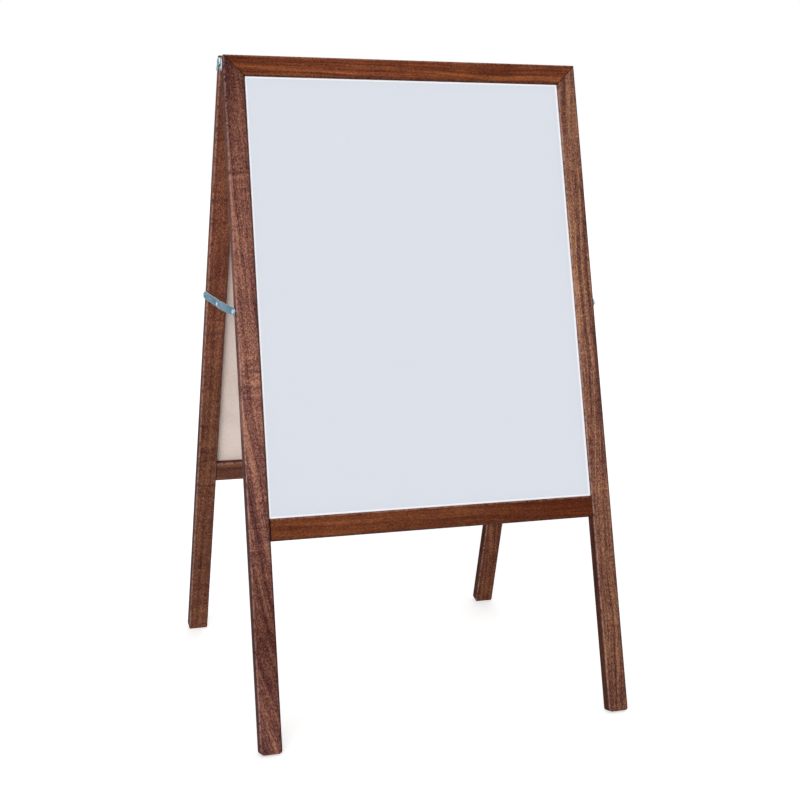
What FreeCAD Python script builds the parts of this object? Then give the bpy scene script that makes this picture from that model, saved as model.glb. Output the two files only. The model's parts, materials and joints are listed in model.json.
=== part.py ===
import FreeCAD, Part
import math
import os
import Sketcher

# Folding dry-erase easel: two hinged wooden frames, each holding a white board, spread by two
# side braces.  Millimetres, Z up, front towards -Y, origin on the floor under the hinge line.

SIZES = [
    # wooden frames
    ("frame_width", 605),
    ("stile_length", 1067),
    ("member_width", 34),
    ("member_thickness", 19),
    ("bottom_rail_drop", 723),
    ("bottom_rail_height", 34),
    ("lean_angle", 14.9),
    ("pivot_drop", 6),
    ("top_edge_clearance", 0.4),
    ("foot_flat", 8),
    ("foot_corner_radius", 6),
    ("top_corner_radius", 3),
    ("face_arris_radius", 3),
    ("back_arris_radius", 1.5),
    # boards and their groove
    ("board_setback", 3.8),
    ("board_thickness", 3.2),
    ("sheet_thickness", 0.8),
    ("groove_depth", 8),
    ("board_face_clearance", 0.15),
    ("board_edge_clearance", 0.6),
    ("board_seat_clearance", 0.1),
    # joints inside the wood
    ("groove_stop", 5),
    ("tongue_end_clearance", 0.3),
    ("glue_clearance", 0.1),
    ("spline_end_margin", 11),
    ("spline_width", 16),
    ("spline_thickness", 3.2),
    ("spline_inset", 4),
    ("tenon_width", 20),
    ("tenon_thickness", 6),
    ("tenon_length", 36),
    ("tenon_inset", 2.6),
    # hinge
    ("leaf_width", 10),
    ("leaf_thickness", 1.5),
    ("leaf_inset", 9.75),
    ("leaf_upper_drop", 8),
    ("leaf_lower_drop", 19.5),
    ("leaf_step_start", 5.7),
    ("leaf_step_end", 7.7),
    ("layer_gap", 0.3),
    ("eye_relief", 0.3),
    ("pivot_pin_diameter", 4),
    ("pivot_head_diameter", 7.6),
    ("pivot_head_height", 1.6),
    ("pivot_flare_diameter", 5.8),
    ("running_clearance", 0.05),
    ("hinge_screw_diameter", 3),
    ("hinge_screw_depth", 9.5),
    ("hinge_head_diameter", 6.4),
    ("hinge_head_height", 2),
    # side braces
    ("brace_drop", 405),
    ("brace_inset", 9.5),
    ("brace_sag", 1.5),
    ("link_width", 13),
    ("link_thickness", 1.5),
    ("link_step_start", 16),
    ("link_step_end", 26),
    ("washer_diameter", 11),
    ("washer_thickness", 1.2),
    ("brace_screw_diameter", 4),
    ("brace_screw_depth", 17),
    ("brace_head_diameter", 8.6),
    ("brace_head_height", 2.6),
    ("head_clearance", 0.15),
    ("rivet_diameter", 4),
    ("rivet_head_diameter", 8),
    ("rivet_head_height", 1.5),
    ("rivet_tail_diameter", 7),
    ("rivet_tail_height", 0.6),
]

doc = FreeCAD.newDocument("easel")
sheet = doc.addObject("Spreadsheet::Sheet", "dims")
for row, (alias, size) in enumerate(SIZES, 1):
    sheet.set("A%d" % row, alias)
    sheet.set("B%d" % row, str(size))
    sheet.setAlias("B%d" % row, alias)
doc.recompute()


def dim(alias):
    return "dims." + alias


def signed(sign, text):
    return "%d * (%s)" % (sign, text)


def value(text):
    found = sheet.evalExpression(text)
    return float(getattr(found, "Value", found))


# Lengths that follow from the driving sizes.  "out" is the distance from the plane midway
# between the two frames, and heights are measured from the hinge axis along the frame.
LEAN = dim("lean_angle")
HALF = "dims.frame_width / 2"
INNER = "(dims.frame_width / 2 - dims.member_width)"
GAP = "(dims.pivot_drop * tan(dims.lean_angle) + dims.top_edge_clearance)"
TOP = dim("pivot_drop")
BOTTOM = "(dims.pivot_drop - dims.stile_length)"
FACE_OUT = "(%s + dims.member_thickness)" % GAP
RAIL_TOP = "(dims.pivot_drop - dims.bottom_rail_drop)"
RAIL_BOTTOM = "(%s - dims.bottom_rail_height)" % RAIL_TOP
SHEET_OUT = "(%s - dims.board_setback)" % FACE_OUT
BOARD_OUT = "(%s - dims.sheet_thickness)" % SHEET_OUT
BOARD_BACK = "(%s - dims.board_thickness)" % BOARD_OUT
GROOVE_NEAR = "(%s - dims.board_face_clearance)" % BOARD_BACK
GROOVE_FAR = "(%s + dims.board_face_clearance)" % SHEET_OUT
SPLINE_HALF = "(dims.member_width * sqrt(0.5) - dims.spline_end_margin)"
SPLINE_OUT = "(%s + dims.spline_inset)" % GAP
TENON_OUT = "(%s + dims.tenon_inset)" % GAP
TENON_UP = "(%s - dims.bottom_rail_height / 2)" % RAIL_TOP
HINGE_UP = ("((dims.stile_length - dims.pivot_drop) * cos(%s) - %s * sin(%s)"
            " - dims.foot_flat * sin(%s) * cos(%s))" % (LEAN, GAP, LEAN, LEAN, LEAN))
LEAF_OUT = "(%s - dims.leaf_inset)" % FACE_OUT
LEAF_UPPER = "(dims.pivot_drop - dims.leaf_upper_drop)"
LEAF_LOWER = "(dims.pivot_drop - dims.leaf_lower_drop)"
LEAF_REACH = "sqrt(%s ^ 2 + %s ^ 2)" % (LEAF_OUT, LEAF_UPPER)
LEAF_RADIUS = "dims.leaf_width / 2"
EYE_LAYER = "(dims.leaf_thickness + dims.layer_gap)"
BRACE_OUT = "(%s - dims.brace_inset)" % FACE_OUT
BRACE_UP = "(dims.pivot_drop - dims.brace_drop)"
SPREAD = "(%s * cos(%s) - %s * sin(%s))" % (BRACE_OUT, LEAN, BRACE_UP, LEAN)
BRACE_HEIGHT = "(%s + %s * sin(%s) + %s * cos(%s))" % (HINGE_UP, BRACE_OUT, LEAN, BRACE_UP, LEAN)
LINK_LENGTH = "sqrt(%s ^ 2 + dims.brace_sag ^ 2)" % SPREAD
LINK_RADIUS = "dims.link_width / 2"
OUTER_LINK = "(dims.washer_thickness + dims.link_thickness + dims.layer_gap)"

FRONT = -1
REAR = 1
LEFT = -1
RIGHT = 1
FRAME_NAME = {FRONT: "front", REAR: "rear"}
HAND_NAME = {LEFT: "left", RIGHT: "right"}
nodes = []


def new_body(name):
    return doc.addObject("PartDesign::Body", name)


def new_sketch(body, plane, offset):
    sketch = body.newObject("Sketcher::SketchObject", body.Name + "_sketch")
    role = plane + "_Plane"
    origin_plane = [f for f in body.Origin.OriginFeatures if f.Role == role][0]
    sketch.AttachmentSupport = [(origin_plane, "")]
    sketch.MapMode = "FlatFace"
    sign = -1 if plane == "XZ" else 1
    sketch.setExpression("AttachmentOffset.Base.z", signed(sign, offset))
    return sketch


def fix_point(sketch, index, which, across, up):
    for kind, text in (("DistanceX", across), ("DistanceY", up)):
        number = sketch.addConstraint(
            Sketcher.Constraint(kind, -1, 1, index, which, value(text)))
        sketch.setExpression("Constraints[%d]" % number, text)


def polygon(body, plane, offset, points):
    sketch = new_sketch(body, plane, offset)
    corners = [FreeCAD.Vector(value(a), value(b), 0) for a, b in points]
    count = len(corners)
    for i in range(count):
        sketch.addGeometry(Part.LineSegment(corners[i], corners[(i + 1) % count]), False)
    for i in range(count):
        sketch.addConstraint(Sketcher.Constraint("Coincident", i, 2, (i + 1) % count, 1))
    for i, (across, up) in enumerate(points):
        fix_point(sketch, i, 1, across, up)
    return sketch


def circle(body, plane, offset, across, up, diameter):
    sketch = new_sketch(body, plane, offset)
    centre = FreeCAD.Vector(value(across), value(up), 0)
    ring = Part.Circle(centre, FreeCAD.Vector(0, 0, 1), value(diameter) / 2)
    index = sketch.addGeometry(ring, False)
    fix_point(sketch, index, 3, across, up)
    number = sketch.addConstraint(Sketcher.Constraint("Diameter", index, value(diameter)))
    sketch.setExpression("Constraints[%d]" % number, diameter)
    return sketch


def rectangle(body, plane, offset, across_low, across_high, up_low, up_high):
    points = [(across_low, up_low), (across_high, up_low),
              (across_high, up_high), (across_low, up_high)]
    return polygon(body, plane, offset, points)


def along_normal(sketch, direction):
    normal = sketch.Placement.Rotation.multVec(FreeCAD.Vector(0, 0, 1))
    return normal.dot(FreeCAD.Vector(*direction)) > 0


def pad(body, sketch, length, direction):
    doc.recompute()
    feature = body.newObject("PartDesign::Pad", body.Name + "_pad")
    feature.Profile = sketch
    feature.setExpression("Length", length)
    feature.Reversed = not along_normal(sketch, direction)
    sketch.Visibility = False
    body.Tip = feature
    doc.recompute()
    return feature


def pocket(body, sketch, length, direction):
    doc.recompute()
    before = body.Shape.Volume
    feature = body.newObject("PartDesign::Pocket", body.Name + "_pocket")
    feature.Profile = sketch
    feature.setExpression("Length", length)
    feature.Reversed = along_normal(sketch, direction)
    sketch.Visibility = False
    body.Tip = feature
    doc.recompute()
    if body.Shape.Volume >= before - 1e-6:
        raise RuntimeError("pocket removed nothing in " + body.Name)
    return feature


def fillet(body, radius, wanted):
    doc.recompute()
    base = body.Tip
    names = []
    for number, edge in enumerate(base.Shape.Edges, 1):
        if wanted(edge.BoundBox):
            names.append("Edge%d" % number)
    if not names:
        raise RuntimeError("no edge to round in " + body.Name)
    feature = body.newObject("PartDesign::Fillet", body.Name + "_fillet")
    feature.Base = (base, names)
    feature.setExpression("Radius", radius)
    body.Tip = feature
    doc.recompute()
    return feature


def turned(body, kind, points):
    sketch = polygon(body, "XY", "0", points)
    doc.recompute()
    feature = body.newObject("PartDesign::" + kind, body.Name + "_turned")
    feature.Profile = sketch
    feature.ReferenceAxis = (sketch, ["H_Axis"])
    feature.Angle = 360
    sketch.Visibility = False
    body.Tip = feature
    doc.recompute()
    return feature


def revolve(body, points):
    return turned(body, "Revolution", points)


def groove(body, points):
    doc.recompute()
    before = body.Shape.Volume
    feature = turned(body, "Groove", points)
    if body.Shape.Volume >= before - 1e-6:
        raise RuntimeError("groove removed nothing in " + body.Name)
    return feature


def flat_head(seat, height, radius):
    return [("%s + %s" % (seat, height), radius), (seat, radius)]


def near(first, second):
    return abs(first - second) < 0.01


def place_on_frame(item, frame):
    item.Placement = FreeCAD.Placement(
        FreeCAD.Vector(0, 0, 0), FreeCAD.Rotation(FreeCAD.Vector(1, 0, 0), 1))
    item.setExpression("Placement.Base.z", HINGE_UP)
    item.setExpression("Placement.Rotation.Angle", signed(frame, LEAN))


def set_local(item, hand, across, out_y, up):
    turn = 180 if hand == LEFT else 0
    item.Placement = FreeCAD.Placement(
        FreeCAD.Vector(0, 0, 0), FreeCAD.Rotation(FreeCAD.Vector(0, 0, 1), turn))
    item.setExpression("Placement.Base.x", signed(hand, across))
    item.setExpression("Placement.Base.y", out_y)
    item.setExpression("Placement.Base.z", up)


def keep(item, name):
    item.Label = name
    nodes.append(item)
    return item


def group(name, members, frame):
    compound = doc.addObject("Part::Compound", name)
    compound.Links = members
    place_on_frame(compound, frame)
    return keep(compound, name)


def outward(frame):
    return (0, frame, 0)


def sideways(hand):
    return (hand, 0, 0)


def inward(hand):
    return (-hand, 0, 0)


def round_member(body, frame, lengthwise):
    def long_edge(out):
        level = frame * value(out)

        def test(box):
            flat = near(box.YMin, level) and near(box.YMax, level)
            across = box.XLength if lengthwise == "Z" else box.ZLength
            return flat and near(across, 0)
        return test

    fillet(body, dim("face_arris_radius"), long_edge(FACE_OUT))
    fillet(body, dim("back_arris_radius"), long_edge(GAP))


def round_corner(body, frame, across, up, step_x, step_z, radius):
    # Quarter-round cut through the member; the steps point from its corner into the wood.
    sketch = new_sketch(body, "XZ", signed(frame, GAP))
    places = [(across, up),
              ("%s + %s" % (across, signed(step_x, radius)), up),
              (across, "%s + %s" % (up, signed(step_z, radius)))]
    corner, low, side = [FreeCAD.Vector(value(a), value(b), 0) for a, b in places]
    centre = FreeCAD.Vector(low.x, side.y, 0)
    low_angle = -90 * step_z
    side_angle = 90 + 90 * step_x
    low_first = (side_angle - low_angle) % 360 == 90
    start = math.radians(low_angle if low_first else side_angle)
    ring = Part.Circle(centre, FreeCAD.Vector(0, 0, 1), value(radius))
    sketch.addGeometry(Part.LineSegment(corner, low), False)
    sketch.addGeometry(Part.LineSegment(side, corner), False)
    sketch.addGeometry(Part.ArcOfCircle(ring, start, start + math.pi / 2), False)
    low_end, side_end = (1, 2) if low_first else (2, 1)
    sketch.addConstraint(Sketcher.Constraint("Coincident", 1, 2, 0, 1))
    sketch.addConstraint(Sketcher.Constraint("Coincident", 2, low_end, 0, 2))
    sketch.addConstraint(Sketcher.Constraint("Coincident", 2, side_end, 1, 1))
    for (index, which), (place_x, place_z) in zip(((0, 1), (0, 2), (1, 1)), places):
        fix_point(sketch, index, which, place_x, place_z)
    number = sketch.addConstraint(Sketcher.Constraint("Radius", 2, value(radius)))
    sketch.setExpression("Constraints[%d]" % number, radius)
    pocket(body, sketch, dim("member_thickness"), outward(frame))


def spline_points(hand, half_length, half_width):
    centre_x = signed(hand, "%s - dims.member_width / 2" % HALF)
    centre_z = "(%s - dims.member_width / 2)" % TOP
    corners = []
    for along, across in ((1, 1), (1, -1), (-1, -1), (-1, 1)):
        shift_x = "sqrt(0.5) * (%d * %s + %d * %s)" % (hand * along, half_length,
                                                       -hand * across, half_width)
        shift_z = "sqrt(0.5) * (%d * %s + %d * %s)" % (along, half_length, across, half_width)
        corners.append(("%s + %s" % (centre_x, shift_x), "%s + %s" % (centre_z, shift_z)))
    return corners


def cut_spline_slot(body, frame, hand):
    slot = polygon(body, "XZ", signed(frame, SPLINE_OUT), spline_points(
        hand, "(%s + dims.glue_clearance)" % SPLINE_HALF,
        "(dims.spline_width / 2 + dims.glue_clearance)"))
    pocket(body, slot, "dims.spline_thickness + 2 * dims.glue_clearance", outward(frame))


def tenon_outline(body, frame, plane_x, clearance):
    half = "(dims.tenon_width / 2 + %s)" % clearance
    return rectangle(body, "YZ", plane_x,
                     signed(frame, "%s - %s" % (TENON_OUT, clearance)),
                     signed(frame, "%s + dims.tenon_thickness + %s" % (TENON_OUT, clearance)),
                     "%s - %s" % (TENON_UP, half), "%s + %s" % (TENON_UP, half))


def cut_mortise(body, frame, plane_x, direction):
    mortise = tenon_outline(body, frame, plane_x, dim("glue_clearance"))
    pocket(body, mortise, "dims.tenon_length / 2 + dims.tongue_end_clearance", direction)


def make_stile(frame, hand):
    name = "%s_%s_stile" % (FRAME_NAME[frame], HAND_NAME[hand])
    body = new_body(name)
    outer_x = signed(hand, HALF)
    inner_x = signed(hand, INNER)
    outline = polygon(body, "XZ", signed(frame, GAP), [
        (outer_x, TOP),
        (inner_x, "%s - dims.member_width" % TOP),
        (inner_x, BOTTOM),
        (outer_x, BOTTOM)])
    pad(body, outline, dim("member_thickness"), outward(frame))
    round_member(body, frame, "Z")
    round_corner(body, frame, outer_x, TOP, -hand, -1, dim("top_corner_radius"))
    round_corner(body, frame, outer_x, BOTTOM, -hand, 1, dim("foot_corner_radius"))
    round_corner(body, frame, inner_x, BOTTOM, hand, 1, dim("foot_corner_radius"))
    side = signed(frame, GROOVE_NEAR), signed(frame, GROOVE_FAR)
    channel = rectangle(body, "YZ", inner_x, side[0], side[1],
                        "%s + dims.groove_stop" % RAIL_BOTTOM,
                        "%s - dims.member_width + dims.groove_depth" % TOP)
    pocket(body, channel, dim("groove_depth"), sideways(hand))
    cut_spline_slot(body, frame, hand)
    cut_mortise(body, frame, inner_x, sideways(hand))
    pilots = ((LEAF_OUT, LEAF_LOWER, "hinge_screw"), (BRACE_OUT, BRACE_UP, "brace_screw"))
    for out, up, screw in pilots:
        pilot = circle(body, "YZ", outer_x, signed(frame, out), up, dim(screw + "_diameter"))
        pocket(body, pilot, "dims.%s_depth + dims.tongue_end_clearance" % screw, inward(hand))
    reach = "dims.member_thickness"
    cut_far = "%s + (dims.foot_flat + %s) * cos(%s)" % (GAP, reach, LEAN)
    cut_near = "%s - %s * cos(%s)" % (GAP, reach, LEAN)
    cut_low = "%s - %s * sin(%s)" % (BOTTOM, reach, LEAN)
    cut_high = "%s + (dims.foot_flat + %s) * sin(%s)" % (BOTTOM, reach, LEAN)
    floor_cut = polygon(body, "YZ", inner_x, [
        (signed(frame, cut_far), cut_low),
        (signed(frame, cut_near), cut_high),
        (signed(frame, cut_near), cut_low)])
    pocket(body, floor_cut, dim("member_width"), sideways(hand))
    place_on_frame(body, frame)
    return keep(body, name)


def make_top_rail(frame):
    name = FRAME_NAME[frame] + "_top_rail"
    body = new_body(name)
    low = "%s - dims.member_width" % TOP
    outline = polygon(body, "XZ", signed(frame, GAP), [
        (signed(LEFT, HALF), TOP), (signed(LEFT, INNER), low),
        (INNER, low), (HALF, TOP)])
    pad(body, outline, dim("member_thickness"), outward(frame))
    round_member(body, frame, "X")
    for hand in (LEFT, RIGHT):
        round_corner(body, frame, signed(hand, HALF), TOP, -hand, -1, dim("top_corner_radius"))
    span = "%s + dims.groove_depth" % INNER
    channel = rectangle(body, "XY", low, signed(LEFT, span), span,
                        signed(frame, GROOVE_NEAR), signed(frame, GROOVE_FAR))
    pocket(body, channel, dim("groove_depth"), (0, 0, 1))
    for hand in (LEFT, RIGHT):
        cut_spline_slot(body, frame, hand)
    place_on_frame(body, frame)
    return keep(body, name)


def make_bottom_rail(frame):
    name = FRAME_NAME[frame] + "_bottom_rail"
    body = new_body(name)
    outline = rectangle(body, "XZ", signed(frame, GAP), signed(LEFT, INNER), INNER,
                        RAIL_BOTTOM, RAIL_TOP)
    pad(body, outline, dim("member_thickness"), outward(frame))
    round_member(body, frame, "X")
    channel = rectangle(body, "XY", RAIL_TOP, signed(LEFT, INNER), INNER,
                        signed(frame, GROOVE_NEAR), signed(frame, GROOVE_FAR))
    pocket(body, channel, dim("groove_depth"), (0, 0, -1))
    for hand in (LEFT, RIGHT):
        root = signed(hand, "%s - dims.groove_depth" % INNER)
        tip = signed(hand, "%s + dims.groove_depth - dims.tongue_end_clearance" % INNER)
        tongue = rectangle(
            body, "XZ", signed(frame, "%s + dims.glue_clearance" % GROOVE_NEAR), root, tip,
            "%s + dims.groove_stop + dims.glue_clearance" % RAIL_BOTTOM,
            "%s - dims.groove_depth" % RAIL_TOP)
        pad(body, tongue, "%s - %s - 2 * dims.glue_clearance" % (GROOVE_FAR, GROOVE_NEAR),
            outward(frame))
        cut_mortise(body, frame, signed(hand, INNER), inward(hand))
    place_on_frame(body, frame)
    return keep(body, name)


def make_board(frame, suffix, start, thickness):
    name = "%s_%s" % (FRAME_NAME[frame], suffix)
    body = new_body(name)
    half_width = "%s + dims.groove_depth - dims.board_edge_clearance" % INNER
    outline = rectangle(
        body, "XZ", signed(frame, start), signed(LEFT, half_width), half_width,
        "%s - dims.groove_depth + dims.board_seat_clearance" % RAIL_TOP,
        "%s - dims.member_width + dims.groove_depth - dims.board_edge_clearance" % TOP)
    pad(body, outline, dim(thickness), outward(frame))
    place_on_frame(body, frame)
    return keep(body, name)


def make_splines(frame):
    members = []
    for hand in (LEFT, RIGHT):
        body = new_body("%s_%s_spline" % (FRAME_NAME[frame], HAND_NAME[hand]))
        outline = polygon(body, "XZ", signed(frame, "%s + dims.glue_clearance" % SPLINE_OUT),
                          spline_points(hand, SPLINE_HALF, "dims.spline_width / 2"))
        pad(body, outline, dim("spline_thickness"), outward(frame))
        members.append(body)
    return group(FRAME_NAME[frame] + "_mitre_splines", members, frame)


def make_tenons(frame):
    members = []
    for hand in (LEFT, RIGHT):
        body = new_body("%s_%s_tenon" % (FRAME_NAME[frame], HAND_NAME[hand]))
        start = signed(hand, "%s - dims.tenon_length / 2" % INNER)
        pad(body, tenon_outline(body, frame, start, "0"), dim("tenon_length"), sideways(hand))
        members.append(body)
    return group(FRAME_NAME[frame] + "_rail_tenons", members, frame)


def strap(body, frame, hand, low, high, layer, length):
    ends = []
    for reach in (low, high):
        for across in (-1, 1):
            out = "(%s * %s + %d * %s * %s) / %s" % (
                reach, LEAF_OUT, across, LEAF_RADIUS, LEAF_UPPER, LEAF_REACH)
            up = "(%s * %s - %d * %s * %s) / %s" % (
                reach, LEAF_UPPER, across, LEAF_RADIUS, LEAF_OUT, LEAF_REACH)
            ends.append((signed(frame, out), up))
    outline = polygon(body, "YZ", signed(hand, "%s + %s" % (HALF, layer)),
                      [ends[0], ends[1], ends[3], ends[2]])
    pad(body, outline, length, sideways(hand))


def disc(body, frame, hand, out, up, layer, length):
    ring = circle(body, "YZ", signed(hand, "%s + %s" % (HALF, layer)),
                  signed(frame, out), up, dim("leaf_width"))
    pad(body, ring, length, sideways(hand))


def make_leaf(frame, hand):
    name = "%s_%s_hinge_leaf" % (FRAME_NAME[frame], HAND_NAME[hand])
    body = new_body(name)
    thick = dim("leaf_thickness")
    disc(body, frame, hand, LEAF_OUT, LEAF_LOWER, "0", thick)
    disc(body, frame, hand, LEAF_OUT, LEAF_UPPER, "0", thick)
    straight = rectangle(
        body, "YZ", signed(hand, HALF),
        signed(frame, "%s - %s" % (LEAF_OUT, LEAF_RADIUS)),
        signed(frame, "%s + %s" % (LEAF_OUT, LEAF_RADIUS)), LEAF_LOWER, LEAF_UPPER)
    pad(body, straight, thick, sideways(hand))
    if frame == FRONT:
        strap(body, frame, hand, dim("leaf_step_start"), LEAF_REACH, "0", thick)
        strap(body, frame, hand, dim("leaf_step_start"), dim("leaf_step_end"), "0",
              "%s + %s" % (EYE_LAYER, thick))
        strap(body, frame, hand, "0", dim("leaf_step_end"), EYE_LAYER, thick)
        disc(body, frame, hand, "0", "0", EYE_LAYER, thick)
        bore = dim("pivot_pin_diameter")
    else:
        strap(body, frame, hand, "0", LEAF_REACH, "0", thick)
        disc(body, frame, hand, "0", "0", "0", thick)
        relief = rectangle(
            body, "YZ", signed(hand, HALF), signed(-frame, dim("leaf_width")),
            signed(frame, dim("leaf_step_start")), signed(-1, dim("leaf_width")),
            dim("leaf_width"))
        pocket(body, relief, dim("eye_relief"), sideways(hand))
        bore = "dims.pivot_pin_diameter + 2 * dims.running_clearance"
    far = "%s + %s + %s" % (HALF, EYE_LAYER, thick)
    hole = circle(body, "YZ", signed(hand, far), "0", "0", bore)
    pocket(body, hole, "%s + %s" % (EYE_LAYER, thick), inward(hand))
    screw_hole = circle(body, "YZ", signed(hand, far), signed(frame, LEAF_OUT), LEAF_LOWER,
                        dim("hinge_screw_diameter"))
    pocket(body, screw_hole, "%s + %s" % (EYE_LAYER, thick), inward(hand))
    if frame == REAR:
        inside = signed(hand, "%s + dims.eye_relief" % HALF)
        outside = signed(hand, "%s + %s" % (HALF, thick))
        groove(body, [
            (inside, "0"),
            (outside, "0"),
            (outside, "dims.pivot_pin_diameter / 2 + dims.running_clearance"),
            (inside, "dims.pivot_flare_diameter / 2 + dims.running_clearance")])
    place_on_frame(body, frame)
    return keep(body, name)


def make_screw(name, kind, tip):
    body = new_body(name)
    radius = "dims.%s_diameter / 2" % kind
    head = kind.replace("_screw", "")
    head_radius = "dims.%s_head_diameter / 2" % head
    head_height = "dims.%s_head_height" % head
    revolve(body, [
        (signed(-1, tip), "0"),
        (head_height, "0"),
        *flat_head("0", head_height, head_radius),
        ("0", radius),
        (signed(-1, tip), radius)])
    return body


def make_hinge_screws(frame):
    members = []
    for hand in (LEFT, RIGHT):
        screw = make_screw("%s_%s_hinge_screw" % (FRAME_NAME[frame], HAND_NAME[hand]),
                           "hinge_screw", "dims.hinge_screw_depth + dims.leaf_thickness")
        set_local(screw, hand, "%s + dims.leaf_thickness" % HALF, signed(frame, LEAF_OUT),
                  LEAF_LOWER)
        members.append(screw)
    return group(FRAME_NAME[frame] + "_hinge_screws", members, frame)


def make_hinge_rivets():
    members = []
    for hand in (LEFT, RIGHT):
        body = new_body(HAND_NAME[hand] + "_hinge_rivet")
        pin = "dims.pivot_pin_diameter / 2"
        outside = "%s + dims.leaf_thickness" % EYE_LAYER
        wide = "dims.pivot_head_diameter / 2"
        inside = "dims.eye_relief + dims.running_clearance"
        revolve(body, [
            (inside, "0"),
            ("%s + dims.pivot_head_height" % outside, "0"),
            *flat_head(outside, dim("pivot_head_height"), wide),
            (outside, pin),
            ("dims.leaf_thickness - dims.running_clearance", pin),
            (inside, "dims.pivot_flare_diameter / 2 - dims.running_clearance")])
        set_local(body, hand, HALF, "0", "0")
        members.append(body)
    return group("hinge_rivets", members, FRONT)


def make_brace_screws(frame):
    members = []
    seat = "dims.washer_thickness + dims.link_thickness + dims.head_clearance"
    for hand in (LEFT, RIGHT):
        screw = make_screw("%s_%s_brace_screw" % (FRAME_NAME[frame], HAND_NAME[hand]),
                           "brace_screw", "dims.brace_screw_depth + " + seat)
        set_local(screw, hand, "%s + %s" % (HALF, seat), signed(frame, BRACE_OUT), BRACE_UP)
        members.append(screw)
    return group(FRAME_NAME[frame] + "_brace_screws", members, frame)


def make_brace_washers(frame):
    members = []
    for hand in (LEFT, RIGHT):
        body = new_body("%s_%s_brace_washer" % (FRAME_NAME[frame], HAND_NAME[hand]))
        bore = "dims.brace_screw_diameter / 2 + dims.running_clearance"
        rim = "dims.washer_diameter / 2"
        revolve(body, [("0", bore), (dim("washer_thickness"), bore),
                       (dim("washer_thickness"), rim), ("0", rim)])
        set_local(body, hand, HALF, signed(frame, BRACE_OUT), BRACE_UP)
        members.append(body)
    return group(FRAME_NAME[frame] + "_brace_washers", members, frame)


def place_on_link(item, frame, shift):
    item.Placement = FreeCAD.Placement(
        FreeCAD.Vector(0, 0, 0), FreeCAD.Rotation(FreeCAD.Vector(1, 0, 0), 1))
    droop = "asin(dims.brace_sag / %s)" % LINK_LENGTH
    item.setExpression("Placement.Base.y", signed(
        frame, "%s - %s * cos(%s)" % (SPREAD, shift, droop)))
    item.setExpression("Placement.Base.z", "%s - %s * sin(%s)" % (BRACE_HEIGHT, shift, droop))
    item.setExpression("Placement.Rotation.Angle", signed(frame, droop))


def link_disc(body, frame, hand, along, layer):
    ring = circle(body, "YZ", signed(hand, "%s + %s" % (HALF, layer)),
                  signed(-frame, along), "0", dim("link_width"))
    pad(body, ring, dim("link_thickness"), sideways(hand))


def link_bar(body, frame, hand, start, end, layer):
    bar = rectangle(body, "YZ", signed(hand, "%s + %s" % (HALF, layer)),
                    signed(-frame, start), signed(-frame, end),
                    signed(-1, LINK_RADIUS), LINK_RADIUS)
    pad(body, bar, dim("link_thickness"), sideways(hand))


def make_link(frame, hand):
    name = "%s_%s_link" % (HAND_NAME[hand], FRAME_NAME[frame])
    body = new_body(name)
    inner_layer = dim("washer_thickness")
    link_disc(body, frame, hand, "0", inner_layer)
    if frame == FRONT:
        start = dim("link_step_start")
        end = dim("link_step_end")
        link_bar(body, frame, hand, "0", start, inner_layer)
        step = []
        for layer, along in ((inner_layer, start), (OUTER_LINK, end),
                             (OUTER_LINK + " + dims.link_thickness", end),
                             (inner_layer + " + dims.link_thickness", start)):
            step.append((signed(hand, "%s + %s" % (HALF, layer)), signed(-frame, along)))
        bend = polygon(body, "XY", signed(-1, LINK_RADIUS), step)
        pad(body, bend, dim("link_width"), (0, 0, 1))
        link_bar(body, frame, hand, end, LINK_LENGTH, OUTER_LINK)
        tip_layer = OUTER_LINK
    else:
        link_bar(body, frame, hand, "0", LINK_LENGTH, inner_layer)
        tip_layer = inner_layer
    link_disc(body, frame, hand, LINK_LENGTH, tip_layer)
    holes = (("0", inner_layer, "dims.brace_screw_diameter + 2 * dims.running_clearance"),
             (LINK_LENGTH, tip_layer, dim("rivet_diameter")))
    for along, layer, bore in holes:
        hole = circle(body, "YZ", signed(hand, "%s + %s" % (HALF, layer)),
                      signed(-frame, along), "0", bore)
        pocket(body, hole, dim("link_thickness"), sideways(hand))
    place_on_link(body, frame, "0")
    return keep(body, name)


def make_rivet_head(hand):
    name = HAND_NAME[hand] + "_rivet_head"
    body = new_body(name + "_turned")
    pin = "dims.rivet_diameter / 2"
    wide = "dims.rivet_head_diameter / 2"
    revolve(body, [
        ("0", "0"),
        ("dims.link_thickness + dims.rivet_head_height", "0"),
        *flat_head(dim("link_thickness"), dim("rivet_head_height"), wide),
        (dim("link_thickness"), pin),
        ("0", pin)])
    set_local(body, hand, "%s + %s" % (HALF, OUTER_LINK), "0", "0")
    compound = doc.addObject("Part::Compound", name)
    compound.Links = [body]
    place_on_link(compound, FRONT, LINK_LENGTH)
    return keep(compound, name)


def make_rivet_tail(hand):
    name = HAND_NAME[hand] + "_rivet_tail"
    body = new_body(name + "_turned")
    pin = "dims.rivet_diameter / 2"
    wide = "dims.rivet_tail_diameter / 2"
    low = signed(-1, dim("rivet_tail_height"))
    revolve(body, [(low, "0"), (dim("link_thickness"), "0"), (dim("link_thickness"), pin),
                   ("0", pin), ("0", wide), (low, wide)])
    set_local(body, hand, "%s + dims.washer_thickness" % HALF, "0", "0")
    compound = doc.addObject("Part::Compound", name)
    compound.Links = [body]
    place_on_link(compound, REAR, LINK_LENGTH)
    return keep(compound, name)


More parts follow.
